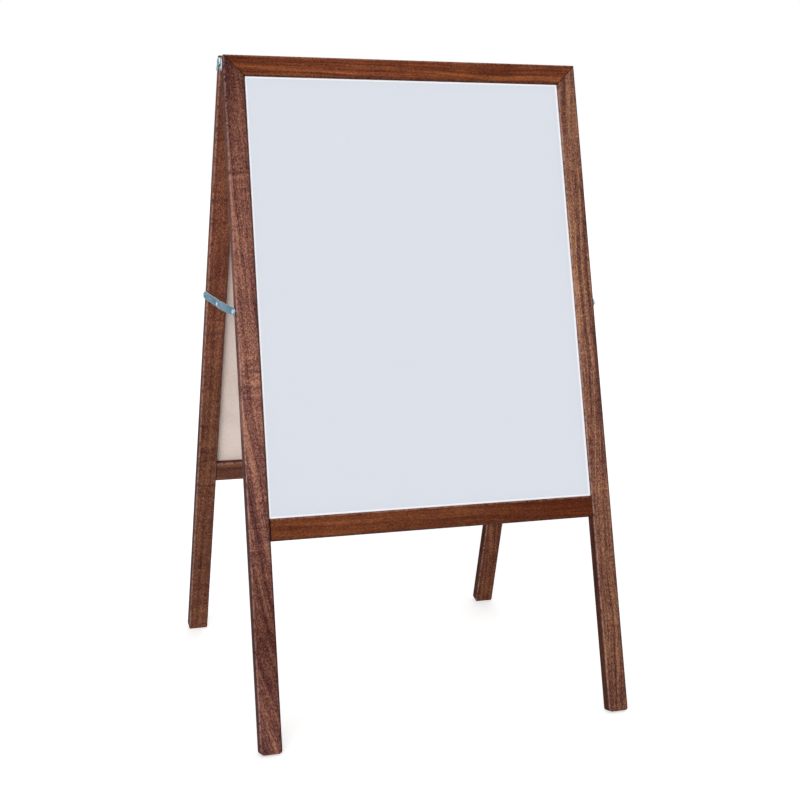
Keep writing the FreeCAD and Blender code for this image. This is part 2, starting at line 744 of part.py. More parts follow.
for frame in (FRONT, REAR):
    for hand in (LEFT, RIGHT):
        make_stile(frame, hand)
    make_top_rail(frame)
    make_bottom_rail(frame)
    make_board(frame, "backing_board", BOARD_BACK, "board_thickness")
    make_board(frame, "dry_erase_sheet", BOARD_OUT, "sheet_thickness")
    make_splines(frame)
    make_tenons(frame)
    for hand in (LEFT, RIGHT):
        make_leaf(frame, hand)
    make_hinge_screws(frame)
    make_brace_screws(frame)
    make_brace_washers(frame)
make_hinge_rivets()
for hand in (LEFT, RIGHT):
    make_link(FRONT, hand)
    make_link(REAR, hand)
    make_rivet_head(hand)
    make_rivet_tail(hand)
doc.recompute()

for item in doc.Objects:
    if "Invalid" in item.State or "Error" in item.State:
        raise RuntimeError("failed feature: " + item.Name)
os.makedirs("parts", exist_ok=True)
for item in nodes:
    shape = item.Shape
    if shape.isNull() or not shape.isValid() or shape.Volume <= 0:
        raise RuntimeError("bad shape: " + item.Label)
for item in nodes:
    item.Shape.exportStep(os.path.join("parts", item.Label + ".step"))
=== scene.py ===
import json
import math

import bmesh
import bpy
from mathutils import Matrix, Vector


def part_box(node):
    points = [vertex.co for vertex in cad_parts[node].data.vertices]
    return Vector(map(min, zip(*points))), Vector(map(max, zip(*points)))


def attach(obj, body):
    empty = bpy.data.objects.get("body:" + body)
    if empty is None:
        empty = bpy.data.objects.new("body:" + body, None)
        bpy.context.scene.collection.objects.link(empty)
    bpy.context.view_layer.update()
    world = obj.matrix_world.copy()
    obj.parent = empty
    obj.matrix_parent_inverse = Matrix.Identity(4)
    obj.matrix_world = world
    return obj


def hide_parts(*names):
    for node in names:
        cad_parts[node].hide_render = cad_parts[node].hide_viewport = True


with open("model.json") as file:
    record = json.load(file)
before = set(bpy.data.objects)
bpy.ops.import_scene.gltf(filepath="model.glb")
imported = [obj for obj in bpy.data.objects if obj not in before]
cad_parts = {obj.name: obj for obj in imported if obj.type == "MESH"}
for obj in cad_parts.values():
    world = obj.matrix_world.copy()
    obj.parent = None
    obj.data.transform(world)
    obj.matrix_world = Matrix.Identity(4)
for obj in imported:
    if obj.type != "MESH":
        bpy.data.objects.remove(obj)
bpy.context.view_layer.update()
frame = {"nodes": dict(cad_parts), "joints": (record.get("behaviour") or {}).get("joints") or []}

# A folding dry-erase easel: two stained wooden frames hinged at the top, each round a white
# board, spread by a jointed zinc brace on each side.  Metres, Z up, front towards -Y.

MM = 0.001
FRONT, REAR = -1, 1
LEFT, RIGHT = -1, 1
FRAME_NAME = {FRONT: "front", REAR: "rear"}
HAND_NAME = {LEFT: "left", RIGHT: "right"}
STEEL_SLOT = "zinc_steel"

# Places taken from the frame's joints and boxes.
JOINTS = {joint["name"]: joint for joint in frame["joints"]}
LEAN = math.radians(JOINTS["fold"]["range_deg"][1]) / 2
HINGE_HEIGHT = JOINTS["fold"]["pos_m"][2]
STILE_LOW, STILE_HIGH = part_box("front_right_stile")
HALF_WIDTH = STILE_HIGH.x
MEMBER_WIDTH = STILE_HIGH.x - STILE_LOW.x
OPENING_HALF = STILE_LOW.x

# Sizes of the wooden frames, measured along the leaning frame from the hinge axis.
MEMBER_THICKNESS = 19 * MM
TOP_EDGE = 6 * MM
FRAME_GAP = TOP_EDGE * math.tan(LEAN) + 0.4 * MM
FACE_OUT = FRAME_GAP + MEMBER_THICKNESS
FACE_MIDDLE = FRAME_GAP + MEMBER_THICKNESS / 2
STILE_LENGTH = 1067 * MM
STILE_MIDDLE = HALF_WIDTH - MEMBER_WIDTH / 2
BOTTOM_RAIL_TOP = TOP_EDGE - 723 * MM
TOP_RAIL_MIDDLE = TOP_EDGE - MEMBER_WIDTH / 2
BOTTOM_RAIL_MIDDLE = BOTTOM_RAIL_TOP - MEMBER_WIDTH / 2

# Hinge leaves, their screws and their rivets.
LEAF_THICKNESS = 1.5 * MM
LEAF_EDGE = 0.3 * MM
LEAF_SCREW_OUT = FACE_OUT - 9.75 * MM
LEAF_SCREW_UP = TOP_EDGE - 19.5 * MM
HINGE_HEAD_RADIUS = 3.2 * MM
HINGE_HEAD_HEIGHT = 2 * MM
HINGE_SHANK_RADIUS = 1.5 * MM
HINGE_SHANK_LENGTH = 11 * MM
HINGE_PIN_RADIUS = 2 * MM
HINGE_RIVET_RADIUS = 3.8 * MM
HINGE_RIVET_HEIGHT = 1.6 * MM
HINGE_RIVET_SEAT = 3.3 * MM
HINGE_RIVET_INSIDE = 0.35 * MM
HINGE_FLARE_RADIUS = 2.85 * MM

# Braces, their screws, washers and rivets, in layers out from the side of the stile.
LINK_EDGE = 0.35 * MM
WASHER_RADIUS = 5.5 * MM
WASHER_BORE = 2.05 * MM
WASHER_THICKNESS = 1.2 * MM
WASHER_CHAMFER = 0.3 * MM
WASHER_BREAK = 0.1 * MM
BRACE_HEAD_SEAT = 2.85 * MM
BRACE_HEAD_RADIUS = 4.3 * MM
BRACE_HEAD_HEIGHT = 2.6 * MM
BRACE_SHANK_RADIUS = 2 * MM
BRACE_SHANK_LENGTH = BRACE_HEAD_SEAT + 17 * MM
RIVET_RADIUS = 2 * MM
RIVET_SEAT = 4.5 * MM
RIVET_HEAD_RADIUS = 4 * MM
RIVET_HEAD_HEIGHT = 1.5 * MM
RIVET_HEAD_INSIDE = 3 * MM
RIVET_TAIL_LOW = 0.6 * MM
RIVET_TAIL_HIGH = 1.2 * MM
RIVET_TAIL_END = 2.7 * MM
RIVET_TAIL_RADIUS = 3.5 * MM
RIVET_TAIL_BREAK = 0.1 * MM
RIVET_TAIL_STEP = 0.15 * MM
RIVET_TAIL_CHAMFER = 0.3 * MM

# How far round each screw stood when it came tight.
HINGE_SCREW_TURN = {(FRONT, LEFT): -1.0, (FRONT, RIGHT): -0.3, (REAR, LEFT): 1.0, (REAR, RIGHT): 1.7}
BRACE_SCREW_TURN = {(FRONT, LEFT): 0.5, (FRONT, RIGHT): -0.4, (REAR, LEFT): 0.5, (REAR, RIGHT): 1.4}

# Limits used in shaping the metal.
SAME_POINT = 0.001 * MM
FLAT_ANGLE = math.radians(1)
CORNER_ANGLE = math.radians(30)
CREASE_ANGLE = math.radians(38)
TURNED_STEPS = 40
DOME_STEPS = 8
EDGE_SEGMENTS = 2

# The photograph's camera.
IMAGE_WIDTH = 800
FOCAL_PIXELS = 1410.14
CENTRE_PIXEL = (382.6, 314.81)
CAMERA_PLACE = Vector((-0.76606, -2.22023, 0.91431))
CAMERA_TURN = math.radians(-18.43)
CAMERA_TILT = math.radians(-7.323)
CAMERA_ROLL = math.radians(0.8832)


def srgb(red, green, blue):
    """A colour written as 0 to 255 screen values, in the linear form that sockets take."""
    def linear(level):
        share = level / 255
        return share / 12.92 if share <= 0.04045 else ((share + 0.055) / 1.055) ** 2.4
    return (linear(red), linear(green), linear(blue), 1.0)


def grey(level):
    return (level, level, level, 1.0)


def scaled(parts, scales):
    """Coordinates multiplied by a pattern's scale, per metre, in each direction."""
    return [part * scale for part, scale in zip(parts, scales)]


class Value:
    """A shader socket whose arithmetic adds Math nodes."""

    def __init__(self, finish, socket):
        self.finish = finish
        self.socket = socket

    def __add__(self, other):
        return self.finish.math("ADD", self, other)

    def __radd__(self, other):
        return self.finish.math("ADD", other, self)

    def __sub__(self, other):
        return self.finish.math("SUBTRACT", self, other)

    def __rsub__(self, other):
        return self.finish.math("SUBTRACT", other, self)

    def __mul__(self, other):
        return self.finish.math("MULTIPLY", self, other)

    def __rmul__(self, other):
        return self.finish.math("MULTIPLY", other, self)

    def __truediv__(self, other):
        return self.finish.math("DIVIDE", self, other)

    def __rtruediv__(self, other):
        return self.finish.math("DIVIDE", other, self)

    def __abs__(self):
        return self.finish.math("ABSOLUTE", self)


class Finish:
    """A material under construction, or the world's own nodes."""

    def __init__(self, name, owner=None):
        self.owner = owner or bpy.data.materials.new(name)
        self.owner.use_nodes = True
        self.tree = self.owner.node_tree
        self.tree.nodes.clear()

    def add(self, kind, settings=None, sockets=None, out=0):
        node = self.tree.nodes.new(kind)
        for key, setting in (settings or {}).items():
            if key == "stops":
                self.set_stops(node.color_ramp.elements, setting)
            else:
                setattr(node, key, setting)
        for key, given in (sockets or {}).items():
            if isinstance(given, Value):
                self.tree.links.new(given.socket, node.inputs[key])
            else:
                node.inputs[key].default_value = given
        return Value(self, node.outputs[out]) if node.outputs else None

    @staticmethod
    def set_stops(elements, stops):
        while len(elements) < len(stops):
            elements.new(1)
        for element, (position, colour) in zip(elements, stops):
            element.position = position
            element.color = colour

    def math(self, operation, *values):
        return self.add("ShaderNodeMath", {"operation": operation}, dict(enumerate(values)))

    def rise(self, value, low, high):
        """Smoothly from 0 at low to 1 at high."""
        return self.add("ShaderNodeMapRange", {"interpolation_type": "SMOOTHSTEP"},
                        {"Value": value, "From Min": low, "From Max": high})

    def mix(self, factor, first, second, blend="MIX"):
        return self.add("ShaderNodeMix", {"data_type": "RGBA", "blend_type": blend},
                        {0: factor, 6: first, 7: second}, out=2)

    def ramp(self, value, stops):
        return self.add("ShaderNodeValToRGB", {"stops": stops}, {"Fac": value})

    def coordinates(self, which="Object"):
        return self.add("ShaderNodeTexCoord", out=which)

    def split(self, vector):
        return [self.add("ShaderNodeSeparateXYZ", None, {0: vector}, out) for out in range(3)]

    def on_frame(self, side):
        """Coordinates along the leaning frame: across, out of it (times its side) and up it."""
        turn = Matrix.Rotation(-side * LEAN, 3, "X")
        shift = -(turn @ Vector((0, 0, HINGE_HEIGHT)))
        return self.add("ShaderNodeMapping", {"vector_type": "POINT"}, {
            "Vector": self.coordinates(), "Rotation": (-side * LEAN, 0, 0), "Location": shift})

    def facing_on_frame(self, side):
        """Which way the surface faces, in the directions of the leaning frame."""
        return self.add("ShaderNodeMapping", {"vector_type": "VECTOR"}, {
            "Vector": self.coordinates("Normal"), "Rotation": (-side * LEAN, 0, 0)})

    def noise(self, parts, seed, detail=2.0, roughness=0.5, distortion=0.0):
        vector = self.add("ShaderNodeCombineXYZ", None, dict(enumerate(parts)))
        return self.add("ShaderNodeTexNoise", {"noise_dimensions": "4D"}, {
            "Vector": vector, "W": seed, "Scale": 1.0, "Detail": detail,
            "Roughness": roughness, "Distortion": distortion})

    def bump(self, height, strength, distance):
        return self.add("ShaderNodeBump", None, {
            "Height": height, "Strength": strength, "Distance": distance})

    def surface(self, **sockets):
        named = {key.replace("_", " "): given for key, given in sockets.items()}
        shader = self.add("ShaderNodeBsdfPrincipled", None, named)
        self.add("ShaderNodeOutputMaterial", None, {"Surface": shader})
        return self.owner


# Stained hardwood: reddish brown with ribbon grain, pores and darker joints, painted highlights and
# shade.
STAIN_DARK = srgb(78, 45, 44)
STAIN_BROWN = srgb(112, 70, 62)
STAIN_MIDDLE = srgb(143, 95, 79)
STAIN_LIGHT = srgb(190, 134, 104)
# Pale colour on the arrises: stain rubbed thin there, and a painted highlight.
STAIN_WORN_AND_SHEEN = srgb(206, 160, 152)
# Painted shade along a stile's right and a rail's lower edge.
EDGE_SHADE_COLOUR = srgb(52, 22, 17)
STAIN_JOINT = srgb(38, 18, 14)
# Painted shade on the narrow faces.
NARROW_FACE_SHADE = srgb(58, 28, 22)
STAIN_END = srgb(58, 30, 24)
PORE = srgb(48, 24, 20)
FIGURE_STOPS = ((0.41, STAIN_DARK), (0.475, STAIN_BROWN), (0.525, STAIN_MIDDLE), (0.6, STAIN_LIGHT))
DRIFT_DARK, DRIFT_LIGHT = grey(0.9), grey(1.1)

# Scales of the wood's figure along a member, across it and through it.
WANDER_SCALE = (2.4, 5, 5)
BAND_SCALE = (3.5, 150, 120)
LINE_SCALE = (12, 640, 580)
FLECK_SCALE = (400, 620, 560)
RIPPLE_SCALE = (34, 22, 22)
DRIFT_SCALE = (4, 9, 9)
PORE_SCALE = (190, 2300, 2300)
SPECKLE_SCALE = (260, 260, 260)
CURL_SCALE = (8, 6, 6)
BAR_SCALE = (170, 16, 16)

# Where each feature of the wood starts and where it is full.
CURLED = (0.5, 0.7)
DRIFTED = (0.3, 0.7)
OPEN_PORE = (0.58, 0.7)
SPECKLED = (0.34, 0.62)
WORN_AND_SHEEN_ARRIS = (1.0 * MM, 3.6 * MM)
EDGE_SHADE_REACH = (1.6 * MM, 4.0 * MM)
JOINT_LINE = (0.25 * MM, 1.1 * MM)
NARROW_FACE = (0.5, 0.95)
FLAT_NARROW_FACE = (0.92, 1.0)
CUT_END = (0.6, 0.9)
LOWER_HALF = (0.5, 0.64)

# How much of each there is.
WANDER_REACH = 0.05
BAND_SHARE, LINE_SHARE = 0.36, 0.14
FLECK_SHARE, RIPPLE_SHARE = 0.4, 0.1
SHARES_MIDDLE = 0.25
GREEN_WARMTH = 0.8
PORE_STRENGTH = 0.5
WORN_AND_SHEEN_STRENGTH = 0.62
TONE_IN_WORN_AND_SHEEN = 0.6
SIDE_FACE_SPARED = 0.8
JOINT_STRENGTH = 0.85
STILE_SIDE_SHADE, LOWER_STILE_SIDE_SHADE, RAIL_SIDE_SHADE = 0.2, 0.52, 0.4
STILE_END_STRENGTH, RAIL_END_STRENGTH = 0.8, 0.3

# How each member looks: the seed of its figure; a tint that multiplies it; its tones, how light
# or dark it is at TONE_PLACES, stiles from the top down and rails from the left; its warmth, how
# much redder it is where it is darker; the grain's slant and its run-out towards the far end; how
# deep the painted shade is along the right or lower edge; and how clearly ribbons, mottling and
# bars of curl show.
TONE_PLACES = (0.0, 0.3, 0.58, 0.84, 1.0)
MEMBER_LOOKS = {
    "front_left_stile": dict(
        seed=18.31, tint=(1.0, 1.02, 1.1), tones=(0.44, 0.86, 0.97, 0.44, 0.83), warmth=0.25,
        slant=0.03, runout=0.1, edge_shade_depth=0.85, ribbon=0.85, mottle=1.1, curl=0.28),
    "front_right_stile": dict(
        seed=322.58, tint=(1.0, 1.1, 1.02), tones=(0.81, 0.88, 0.87, 0.71, 0.65), warmth=0.25,
        slant=-0.02, runout=0.0, edge_shade_depth=0.8, ribbon=1.05, mottle=1.0, curl=0.06),
    "front_top_rail": dict(
        seed=21.0, tint=(0.8, 0.56, 0.33), tones=(0.76, 1.12, 0.96, 0.95, 1.04), warmth=0.25,
        slant=0.01, runout=0.0, edge_shade_depth=0.7, ribbon=1.0, mottle=0.68, curl=0.04),
    "front_bottom_rail": dict(
        seed=169.48, tint=(0.56, 0.365, 0.212), tones=(1.12, 1.14, 1.2, 0.92, 0.95), warmth=1.0,
        slant=0.02, runout=0.0, edge_shade_depth=0.7, ribbon=0.5, mottle=0.56, curl=0.04),
    # Its lighter tones towards the top are painted light against the shade that the front frame
    # casts there.
    "rear_left_stile": dict(
        seed=456.44, tint=(0.72, 0.665, 0.565), tones=(1.14, 1.28, 0.88, 0.83, 1.05), warmth=-0.3,
        slant=-0.02, runout=0.0, edge_shade_depth=0.6, ribbon=0.45, mottle=0.95, curl=0.2),
    "rear_right_stile": dict(
        seed=51.0, tint=(0.84, 0.76, 0.62), tones=(1.0, 1.0, 1.0, 1.0, 0.94), warmth=0.25,
        slant=0.03, runout=0.0, edge_shade_depth=0.6, ribbon=1.1, mottle=1.5, curl=0.1),
    "rear_top_rail": dict(
        seed=61.0, tint=(0.82, 0.56, 0.33), tones=(1.0, 0.94, 1.0, 1.04, 0.98), warmth=0.25,
        slant=-0.01, runout=0.0, edge_shade_depth=0.5, ribbon=1.0, mottle=0.7, curl=0.04),
    "rear_bottom_rail": dict(
        seed=71.0, tint=(0.56, 0.54, 0.5), tones=(1.0, 1.06, 0.98, 0.94, 1.0), warmth=0.25,
        slant=0.01, runout=0.0, edge_shade_depth=0.5, ribbon=0.75, mottle=0.75, curl=0.04),
}


class Member:
    """Shader coordinates on one wooden member."""

    def __init__(self, finish, side, upright, middle, look):
        self.finish, self.upright, self.middle, self.look = finish, upright, middle, look
        self.x, y, self.z = finish.split(finish.on_frame(side))
        self.out = y * side
        sideways, _, endways = finish.split(finish.facing_on_frame(side))
        if upright:
            self.along, self.across = self.z, self.x
            self.share = (TOP_EDGE - self.z) / STILE_LENGTH
        else:
            self.along, self.across = self.x, self.z
            self.share = (self.x + HALF_WIDTH) / (2 * HALF_WIDTH)
            sideways, endways = endways, sideways
        self.sideways, self.endways = abs(sideways), abs(endways)
        runs_out = look["slant"] + look["runout"] * self.share * self.share
        wander = self.noise(WANDER_SCALE, 0) - 0.5
        self.grain = self.across + self.along * runs_out + wander * WANDER_REACH

    def noise(self, scales, step, **settings):
        """Noise square across the member."""
        parts = scaled((self.along, self.across, self.out), scales)
        return self.finish.noise(parts, self.look["seed"] + step, **settings)

    def grain_noise(self, scales, step, **settings):
        """Noise that follows the run of the grain."""
        parts = scaled((self.along, self.grain, self.out), scales)
        return self.finish.noise(parts, self.look["seed"] + step, **settings)


def wood_figure(member, lines, flecks):
    """Ribbons and lines along the grain, mottling and, in places, bars of curl across it."""
    finish, look = member.finish, member.look
    bands = member.grain_noise(BAND_SCALE, 1, detail=3.0)
    ripple = member.noise(RIPPLE_SCALE, 4)
    curled = finish.rise(member.noise(CURL_SCALE, 8), *CURLED)
    bars = member.noise(BAR_SCALE, 9, detail=1.0)
    shade = (0.5 + curled * (bars - 0.5) * look["curl"]
             + look["ribbon"] * (bands * BAND_SHARE + lines * LINE_SHARE - SHARES_MIDDLE)
             + look["mottle"] * (flecks * FLECK_SHARE + ripple * RIPPLE_SHARE - SHARES_MIDDLE))
    drift = finish.rise(member.noise(DRIFT_SCALE, 5), *DRIFTED)
    cast = finish.mix(drift, DRIFT_DARK, DRIFT_LIGHT)
    return finish.mix(1.0, finish.ramp(shade, FIGURE_STOPS), cast, "MULTIPLY")


def tone_multiplier(level, warmth):
    """A multiplier for the wood's colour: below 1 it is darker and, with warmth, redder."""
    return (level, level ** (1 + GREEN_WARMTH * warmth), level ** (1 + warmth), 1.0)


def tone_along_length(member):
    """How light or dark the member is along its length, times its tint."""
    look = member.look
    tone = member.finish.ramp(member.share, [(place, tone_multiplier(level, look["warmth"]))
                                             for place, level in zip(TONE_PLACES, look["tones"])])
    return member.finish.mix(1.0, tone, (*look["tint"], 1), "MULTIPLY")


def arris_wear_and_sheen(member):
    """1 in specks along the rounded arrises, where the stain is rubbed thin and a highlight is
    painted.
    """
    from_side = MEMBER_WIDTH / 2 - abs(member.across - member.middle)
    from_face = MEMBER_THICKNESS / 2 - abs(member.out - FACE_MIDDLE)
    rubbed = 1 - member.finish.rise(from_side + from_face, *WORN_AND_SHEEN_ARRIS)
    return rubbed * member.finish.rise(member.noise(SPECKLE_SCALE, 7), *SPECKLED)


def painted_edge_shade(member):
    """Painted shade along a stile's right or a rail's lower edge, kept off its flat narrow face."""
    past_middle = member.middle - member.x if member.upright else member.z - member.middle
    shaded_edge = 1 - member.finish.rise(past_middle + MEMBER_WIDTH / 2, *EDGE_SHADE_REACH)
    spared_side = SIDE_FACE_SPARED * member.finish.rise(member.sideways, *FLAT_NARROW_FACE)
    return shaded_edge * member.look["edge_shade_depth"] * (1 - spared_side)


def joint_lines(member):
    """1 along the mitres and where the bottom rail butts against the stiles."""
    finish, x, z = member.finish, member.x, member.z
    mitre = abs((TOP_EDGE - z) - (HALF_WIDTH - abs(x))) * math.sqrt(0.5)
    past_rail = abs(z - BOTTOM_RAIL_MIDDLE) - MEMBER_WIDTH / 2
    butt = abs(abs(x) - OPENING_HALF) + finish.rise(past_rail, 0, MM)
    return 1 - finish.rise(finish.math("MINIMUM", mitre, butt), *JOINT_LINE)


def painted_side_shade(member):
    """Painted shade on the narrow faces, on a stile deeper in its lower half."""
    side_shade = RAIL_SIDE_SHADE
    if member.upright:
        side_shade = STILE_SIDE_SHADE + LOWER_STILE_SIDE_SHADE * member.finish.rise(member.share, *LOWER_HALF)
    return member.finish.rise(member.sideways, *NARROW_FACE) * side_shade


def stained_wood(name, side, upright, middle, look):
    finish = Finish(name)
    member = Member(finish, side, upright, middle, look)
    lines = member.grain_noise(LINE_SCALE, 2)
    flecks = member.grain_noise(FLECK_SCALE, 3, roughness=0.6)
    open_pores = finish.rise(member.grain_noise(PORE_SCALE, 6, detail=1.0), *OPEN_PORE)
    depth = tone_along_length(member)
    wear_and_sheen = arris_wear_and_sheen(member)
    wear_and_sheen_colour = finish.mix(TONE_IN_WORN_AND_SHEEN, STAIN_WORN_AND_SHEEN, depth, "MULTIPLY")
    seam = joint_lines(member)
    cut_end = finish.rise(member.endways, *CUT_END)
    end_strength = STILE_END_STRENGTH if upright else RAIL_END_STRENGTH

    stained = finish.mix(1.0, wood_figure(member, lines, flecks), depth, "MULTIPLY")
    stained = finish.mix(open_pores * PORE_STRENGTH, stained, PORE)
    # Paler specks on the arrises: rubbed stain, and a painted highlight.
    stained = finish.mix(wear_and_sheen * WORN_AND_SHEEN_STRENGTH, stained, wear_and_sheen_colour)
    # Painted shade along the right or lower edge.
    stained = finish.mix(painted_edge_shade(member), stained, EDGE_SHADE_COLOUR)
    stained = finish.mix(seam * JOINT_STRENGTH, stained, STAIN_JOINT)
    # Painted shade on the narrow faces.
    stained = finish.mix(painted_side_shade(member), stained, NARROW_FACE_SHADE)
    stained = finish.mix(cut_end * end_strength, stained, STAIN_END)

    roughness = 0.4 + (flecks - 0.5) * 0.3 + open_pores * 0.15 + cut_end * 0.25
    relief = lines * 0.35 + flecks * 0.4 - open_pores * 0.8 - seam
    return finish.surface(
        Base_Color=stained, Roughness=roughness, Specular_IOR_Level=0.004,
        Coat_Weight=wear_and_sheen * 0.3, Coat_Roughness=0.3, Coat_IOR=1.3,
        Normal=finish.bump(relief, strength=0.35, distance=0.25 * MM))


# White writing sheet: smooth, faintly wiped, a cleaner rim along the wood.
SHEET_WHITE = srgb(215, 219, 228)
SHEET_RIM = srgb(246, 250, 254)
SHEET_WIPED = srgb(212, 216, 228)
SHEET_SEED = 100.0
RIM_WIDTH = (2.6 * MM, 3.2 * MM)
WIPED_ACROSS, WIPED_UP = 3, 1.6
STROKE_ACROSS, STROKE_UP, STROKE_LENGTH = 14, 9, 2
PEEL_SCALE = (420, 420, 420)
WIPED_PATCH = (0.42, 0.7)
STROKE_PATCH = (0.4, 0.66)
GHOST_STRENGTH = 0.3


def writing_sheet(name, side, seed):
    finish = Finish(name)
    x, y, z = finish.split(finish.on_frame(side))
    from_stile = OPENING_HALF - abs(x)
    from_top = (TOP_EDGE - MEMBER_WIDTH) - z
    from_rail = z - BOTTOM_RAIL_TOP
    from_wood = finish.math("MINIMUM", from_stile, finish.math("MINIMUM", from_top, from_rail))
    rim = 1 - finish.rise(from_wood, *RIM_WIDTH)
    wiped = finish.noise((x * WIPED_ACROSS, z * WIPED_UP, y), seed,
                         detail=4.0, roughness=0.55, distortion=1.2)
    strokes = finish.noise((x * STROKE_ACROSS + z * STROKE_UP,
                            z * STROKE_LENGTH - x * STROKE_LENGTH, y), seed + 1, detail=3.0)
    ghost = finish.rise(wiped, *WIPED_PATCH) * finish.rise(strokes, *STROKE_PATCH)
    colour = finish.mix(ghost * GHOST_STRENGTH, SHEET_WHITE, SHEET_WIPED)
    colour = finish.mix(rim, colour, SHEET_RIM)
    peel = finish.noise(scaled((x, z, y), PEEL_SCALE), seed + 2, detail=1.0)
    return finish.surface(
        Base_Color=colour, Roughness=0.28 + ghost * 0.1, Specular_IOR_Level=0.4,
        Normal=finish.bump(peel, strength=0.05, distance=0.05 * MM))


# Pressed board: cream, with short fibres and darker specks.
BOARD_CREAM = srgb(226, 211, 202)
BOARD_LIGHT = srgb(231, 216, 207)
BOARD_TAN = srgb(214, 197, 184)
BOARD_SPECK = srgb(140, 112, 88)
BOARD_STOPS = ((0.4, BOARD_TAN), (0.5, BOARD_CREAM), (0.6, BOARD_LIGHT))
BOARD_SEED = 120.0
BOARD_CLOUD_SCALE = (14, 14, 14)
FIBRE_SCALE = (900, 160, 160)
CROSS_FIBRE_SCALE = (150, 850, 150)
SPECK_SCALE = (420, 420, 420)
SPECKS = (0.66, 0.74)
SPECK_STRENGTH = 0.3
CLOUD_SHARE, FIBRE_SHARE = 0.4, 0.3


def pressed_board(name, side, seed):
    finish = Finish(name)
    x, y, z = finish.split(finish.on_frame(side))
    place = (x, z, y)
    matted = dict(detail=2.0, roughness=0.6, distortion=0.8)
    cloud = finish.noise(scaled(place, BOARD_CLOUD_SCALE), seed, detail=3.0)
    fibre = finish.noise(scaled(place, FIBRE_SCALE), seed + 1, **matted)
    cross_fibre = finish.noise(scaled(place, CROSS_FIBRE_SCALE), seed + 2, **matted)
    speck = finish.rise(finish.noise(scaled(place, SPECK_SCALE), seed + 3, detail=1.0), *SPECKS)
    shade = cloud * CLOUD_SHARE + fibre * FIBRE_SHARE + cross_fibre * FIBRE_SHARE
    colour = finish.mix(speck * SPECK_STRENGTH, finish.ramp(shade, BOARD_STOPS), BOARD_SPECK)
    relief = fibre + cross_fibre - speck
    return finish.surface(
        Base_Color=colour, Roughness=0.72 + (fibre - 0.5) * 0.3,
        Normal=finish.bump(relief, strength=0.3, distance=0.2 * MM))


# Bare beech of the joints inside the wood.
BEECH_PALE = srgb(214, 180, 138)
BEECH_DARK = srgb(176, 138, 98)
BEECH_SEED = 140.0
STREAK_SCALE = (40, 900, 900)
RAY_SCALE = (500, 2000, 2000)
STREAKED = (0.35, 0.65)
RAYS = (0.6, 0.7)
RAY_STRENGTH = 0.5


def bare_beech(name, side, seed):
    finish = Finish(name)
    x, y, z = finish.split(finish.on_frame(side))
    streak = finish.noise(scaled((x, z, y), STREAK_SCALE), seed, detail=3.0)
    ray = finish.rise(finish.noise(scaled((x, z, y), RAY_SCALE), seed + 1, detail=1.0), *RAYS)
    colour = finish.mix(finish.rise(streak, *STREAKED), BEECH_PALE, BEECH_DARK)
    colour = finish.mix(ray * RAY_STRENGTH, colour, BEECH_DARK)
    return finish.surface(
        Base_Color=colour, Roughness=0.6 + (streak - 0.5) * 0.3,
        Normal=finish.bump(streak - ray, strength=0.3, distance=0.1 * MM))


# Zinc plate: blue grey, clouded, with fine drawn lines.
ZINC_BLUE = srgb(104, 130, 146)
ZINC_DARK = srgb(80, 106, 124)
ZINC_PALE = srgb(150, 182, 198)
ZINC_GRAZING = srgb(206, 226, 235)
ZINC_BRIGHT = srgb(214, 221, 226)
ZINC_SILVER = srgb(150, 160, 166)
ZINC_CLOUD = srgb(122, 134, 142)
ZINC_CLOUD_SCALE = (260, 160, 260)
DRAWN_SCALE = (4000, 60, 4000)
SCUFF_SCALE = (900, 300, 900)
SPANGLE_SCALE = 900.0
CLOUDED = (0.35, 0.68)
SCUFFED = (0.64, 0.76)
SCUFF_STRENGTH = 0.4
EDGE_WEAR_AND_HIGHLIGHT = 0.8

# Marks the rounded edges of the pressed pieces, where the plating is rubbed bright and a highlight
# is painted.
CUT_EDGE = "cut_edge"


def zinc_plate(name, seed, base, cloud_colour, roughness):
    finish = Finish(name)
    place = finish.split(finish.coordinates())
    cloud = finish.noise(scaled(place, ZINC_CLOUD_SCALE), seed, detail=3.0)
    spangle = finish.add("ShaderNodeTexVoronoi", None, {
        "Vector": finish.coordinates(), "Scale": SPANGLE_SCALE})
    drawn = finish.noise(scaled(place, DRAWN_SCALE), seed + 1)
    scuff = finish.rise(finish.noise(scaled(place, SCUFF_SCALE), seed + 2), *SCUFFED)
    colour = finish.mix(finish.rise(cloud, *CLOUDED), base, cloud_colour)
    colour = finish.mix(scuff * SCUFF_STRENGTH, colour, ZINC_PALE)
    cut_edge = finish.add("ShaderNodeAttribute", {"attribute_name": CUT_EDGE}, out="Fac")
    # Rounded edges lightened: plating rubbed bright, and a painted highlight.
    colour = finish.mix(cut_edge * EDGE_WEAR_AND_HIGHLIGHT, colour, ZINC_BRIGHT)
    gloss = roughness + (cloud - 0.5) * 0.2 + (drawn - 0.5) * 0.2 + spangle * 0.04
    relief = drawn * 0.6 + scuff * 0.4
    return finish.surface(
        Base_Color=colour, Metallic=1.0, Roughness=gloss, Specular_Tint=ZINC_GRAZING,
        Normal=finish.bump(relief, strength=0.15, distance=0.03 * MM))


def on_frame(side, across, out, up):
    """A place given across, out from and up a leaning frame, in the shared frame."""
    leaning = Matrix.Rotation(side * LEAN, 3, "X") @ Vector((across, side * out, up))
    return leaning + Vector((0, 0, HINGE_HEIGHT))


def outward(hand, place, twist=0.0):
    """Turns a piece made along +Z to point out of that side of the easel, at the place."""
    turn = Matrix.Rotation(hand * math.pi / 2, 4, "Y") @ Matrix.Rotation(twist, 4, "Z")
    return Matrix.Translation(place) @ turn


def closed_up(form):
    """Merges doubled points, then turns the faces outwards."""
    bmesh.ops.remove_doubles(form, verts=form.verts, dist=SAME_POINT)
    bmesh.ops.recalc_face_normals(form, faces=form.faces)
    return form


